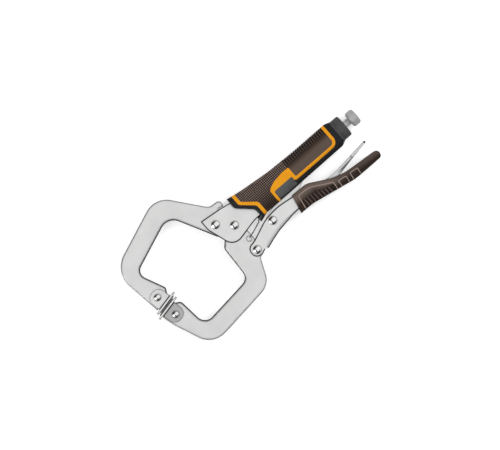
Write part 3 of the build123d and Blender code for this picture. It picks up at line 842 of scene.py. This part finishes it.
def pad_marks(tree, place, colour, side, pivot, ear):
    """Bright face plate, an ear scaled darker as painted shade, and a dark line of painted shade in the
    corner between the two.
    """
    x, y, _ = drawing_axes(tree, place)
    tilt = math.radians(PAD_TILT)
    along = maths(tree, "MULTIPLY", maths(tree, "SUBTRACT", x, pivot[0]), -side * math.sin(tilt))
    out = maths(tree, "MULTIPLY", maths(tree, "SUBTRACT", y, pivot[1]), side * math.cos(tilt))
    out = maths(tree, "ADD", along, out)
    back = PAD_PLATE - PAD_FACE
    plate = flip(tree, step(tree, out, back, 0.1))
    # Painted shade: a dark line in the corner where the ear meets the plate.
    corner = both(tree, step(tree, out, back - 0.3, 0.15), flip(tree, step(tree, out, back + 0.9, 0.35)))
    # Painted shade: the ear scaled darker by the factor given for its pad.
    dimmed = tree.nodes.new("ShaderNodeVectorMath")
    dimmed.operation = "SCALE"
    dimmed.inputs["Scale"].default_value = ear
    tree.links.new(colour, dimmed.inputs[0])
    colour = blend_colour(tree, plate, dimmed.outputs["Vector"], (0.84, 0.84, 0.835))
    return blend_colour(tree, corner, colour, (0.02, 0.02, 0.02))


def upper_pad_marks(tree, place, colour):
    """Marks of the pad on the fixed jaw."""
    return pad_marks(tree, place, colour, 1.0, FIXED_PAD_PIVOT, 1.0)


def lower_pad_marks(tree, place, colour):
    """Marks of the pad on the moving jaw, whose ear is in shade."""
    return pad_marks(tree, place, colour, -1.0, MOVING_PAD_PIVOT, 0.6)


PAD_LOW = (0.70, 0.70, 0.695)
PAD_HIGH = (0.80, 0.80, 0.795)

MATERIALS = {
    "shell": sheet_steel("shell_steel", (0.75, 0.75, 0.745), (0.82, 0.82, 0.815), 0.32, shell_edge,
                         edge_shade=0.5),
    "jaw": sheet_steel("jaw_steel", (0.73, 0.73, 0.727), (0.80, 0.80, 0.795), 0.33, 3.2,
                       edge_shade=0.2, crease=(1.2, 0.6)),
    "rivet": plated_steel("rivet_steel", (0.80, 0.80, 0.80), (0.86, 0.86, 0.86), 0.07, grain=0.02),
    "screw": plated_steel("screw_steel", (0.76, 0.76, 0.76), (0.86, 0.86, 0.86), 0.5, metal=0.5),
    "knob": plated_steel("knob_steel", (0.54, 0.54, 0.54), (0.64, 0.64, 0.64), 0.5, metal=0.5),
    "pad": sheet_steel("pad_steel", PAD_LOW, PAD_HIGH, 0.22, 1.1,
                       edge_shade=0.08, marks=upper_pad_marks, metal=0.5),
    # The lower pad: the pad steel again, with its ear in painted shade.
    "low_pad": sheet_steel("low_pad_steel", PAD_LOW, PAD_HIGH, 0.22, 1.1,
                           edge_shade=0.08, marks=lower_pad_marks, metal=0.5),
    "link": sheet_steel("link_steel", (0.70, 0.70, 0.695), (0.78, 0.78, 0.775), 0.3, 1.0),
    "lever": sheet_steel("lever_steel", (0.62, 0.62, 0.62), (0.72, 0.72, 0.72), 0.26, 1.0,
                         edge_shade=0.2, marks=lever_shadow, bends=0.0, metal=0.55),
    # Teeth coloured near black as painted shade, standing in for the shade between the serrations.
    "teeth": plated_steel("shaded_teeth_steel", (0.13, 0.13, 0.13), (0.24, 0.24, 0.24), 0.35),
    "spring": plated_steel("spring_steel", (0.16, 0.16, 0.165), (0.26, 0.26, 0.265), 0.25),
    "dark": two_tone_base("grip_dark"),
    "cover": mesh_cover("grip_mesh"),
    "brown": finger_grip("grip_brown"),
    # Beads coloured light as a painted highlight, standing in for light caught on the raised lines.
    "bead": moulded("grip_bead_highlight", (0.40, 0.305, 0.265), (0.48, 0.375, 0.33), 0.45),
    "rib": moulded("grip_rib", (0.095, 0.064, 0.052), (0.13, 0.092, 0.078), 0.45),
    "orange": moulded("grip_orange", (0.88, 0.345, 0.006), (0.93, 0.380, 0.009), 0.36,
                      grain_size=0.8, grain=0.1),
}

NODE_MATERIALS = {
    "fixed_handle_shell": "shell",
    "lower_handle_shell": "shell",
    "fixed_jaw": "jaw",
    "moving_jaw": "jaw",
    "jaw_anchor_rivet": "rivet",
    "jaw_pivot_rivet": "rivet",
    "handle_pivot_rivet": "rivet",
    "link_rivet": "rivet",
    "fixed_pad_rivet": "rivet",
    "moving_pad_rivet": "rivet",
    "threaded_bush": "screw",
    "spring_anchor_pin": "screw",
    "lever_pin": "screw",
    "fixed_pad": "pad",
    "moving_pad": "low_pad",
    "toggle_link": "link",
    "release_lever": "lever",
    "upper_grip_base": "dark",
    "upper_grip_cover": "cover",
    "upper_grip_front_trim": "orange",
    "upper_grip_long_trim": "orange",
    "lower_grip": "brown",
}
WELD_REACH = 0.002


def dress_nodes():
    """Gives each CAD node its material."""
    for name, key in NODE_MATERIALS.items():
        piece = frame["nodes"][name]
        piece.data.materials.clear()
        piece.data.materials.append(MATERIALS[key])
        weld = piece.modifiers.new("weld", "WELD")
        weld.merge_threshold = WELD_REACH * MM


# ------------------------------------------------------------------ stage

FLOOR_GAP = 0.0002
FLOOR_HALF = 3.0


def make_floor():
    """Pale floor, the surface the tool lies on, left out of what polished steel mirrors."""
    data = bpy.data.meshes.new("floor")
    low = cad_box[0][2] - FLOOR_GAP
    corners = ((-1, -1), (1, -1), (1, 1), (-1, 1))
    data.from_pydata([(FLOOR_HALF * a, FLOOR_HALF * b, low) for a, b in corners], [], [(0, 1, 2, 3)])
    floor = bpy.data.objects.new("floor", data)
    bpy.context.scene.collection.objects.link(floor)
    material, _, shader, _ = start_material("floor")
    shader.inputs["Base Color"].default_value = (0.9, 0.9, 0.9, 1)
    shader.inputs["Roughness"].default_value = 0.9
    shader.inputs["Emission Color"].default_value = (1, 1, 1, 1)
    shader.inputs["Emission Strength"].default_value = 0.5
    data.materials.append(material)
    floor.visible_glossy = False


def area_light(name, place, aim, size, power, mirrored=True):
    """Soft box at a place, pointing at another, seen in polished steel or not."""
    data = bpy.data.lights.new(name, "AREA")
    data.shape = "RECTANGLE"
    data.size = size[0]
    data.size_y = size[1]
    data.energy = power
    light = bpy.data.objects.new(name, data)
    light.location = place
    light.visible_glossy = mirrored
    light.rotation_euler = (Vector(aim) - Vector(place)).to_track_quat("-Z", "Y").to_euler()
    bpy.context.scene.collection.objects.link(light)


def make_world():
    """Studio surround: bright ceiling with a dark seam, dark long sides, dim far ends and lower half."""
    world = bpy.data.worlds.new("studio")
    world.use_nodes = True
    tree = world.node_tree
    place = tree.nodes.new("ShaderNodeTexCoord")
    split = tree.nodes.new("ShaderNodeSeparateXYZ")
    tree.links.new(place.outputs["Generated"], split.inputs["Vector"])
    x, y, z = split.outputs
    side = spread(tree, maths(tree, "ABSOLUTE", y), 1.0, 0.0, 0.44, 0.62)
    side = maths(tree, "MAXIMUM", side, spread(tree, x, 0.0, 0.45, 0.2, 0.4))
    rise = spread(tree, z, 0.0, 1.0, 0.2, 0.5)
    seam = maths(tree, "ABSOLUTE", maths(tree, "ADD", x, 0.45))
    seam = spread(tree, seam, 0.0, 1.0, 0.11, 0.19)
    below = maths(tree, "MULTIPLY", spread(tree, z, 1.0, 0.0, -0.1, 0.15), 0.38)
    far = spread(tree, maths(tree, "ABSOLUTE", y), 0.0, 0.45, 0.86, 0.95)
    dim = maths(tree, "MAXIMUM", below, far)
    light = maths(tree, "MULTIPLY_ADD", both(tree, side, rise, seam), 0.93)
    light.node.inputs[2].default_value = 0.03
    back = tree.nodes["Background"]
    back.inputs["Color"].default_value = (1, 1, 1, 1)
    tree.links.new(maths(tree, "ADD", light, dim), back.inputs["Strength"])
    bpy.context.scene.world = world


def set_tones():
    """Plain colour conversion, so that the pale floor stays white."""
    bpy.context.scene.view_settings.view_transform = "Standard"


SENSOR = 36.0
CAMERA_HEIGHT = 2.2
VIEW_WIDTH = 0.4929
VIEW_CENTRE = (11.6, -9.84)
VIEW_TURN = -41.0


def make_camera():
    """Straight down on the tool, turned so that its handle points up to the right."""
    data = bpy.data.cameras.new("camera")
    data.sensor_width = SENSOR
    data.lens = SENSOR * CAMERA_HEIGHT / VIEW_WIDTH
    data.clip_end = 20.0
    camera = bpy.data.objects.new("camera", data)
    centre = at(*VIEW_CENTRE)
    camera.location = (centre.x, centre.y, centre.z + CAMERA_HEIGHT)
    camera.rotation_euler = (0, 0, math.radians(VIEW_TURN))
    bpy.context.scene.collection.objects.link(camera)
    bpy.context.scene.camera = camera


dress_nodes()
make_screw(MATERIALS["screw"])
make_knob(MATERIALS["knob"])
make_spring(MATERIALS["spring"])
make_teeth("fixed_pad_teeth", "fixed_pad", FIXED_PAD_PIVOT, 0.0, MATERIALS["teeth"])
make_teeth("moving_pad_teeth", "moving_pad", MOVING_PAD_PIVOT, 180.0, MATERIALS["teeth"])
PANELS = [flat_line(FINGER_PANEL), flat_line(MIDDLE_PANEL), flat_line(REAR_PANEL)]
make_beads("finger_panel_beads", "lower_grip", PANELS, 0.9, 0.35, "lower_handle", MATERIALS["bead"])
make_beads("finger_ribs", "lower_grip", finger_ribs(), 1.4, 0.55, "lower_handle", MATERIALS["rib"])
make_floor()
make_world()
area_light("left", (-1.0, 0.15, 0.75), (0, 0, 0), (0.35, 0.7), 4.5)
area_light("right", (0.95, -0.05, 0.9), (0, 0, 0), (0.5, 0.6), 5.0, False)
make_camera()
set_tones()
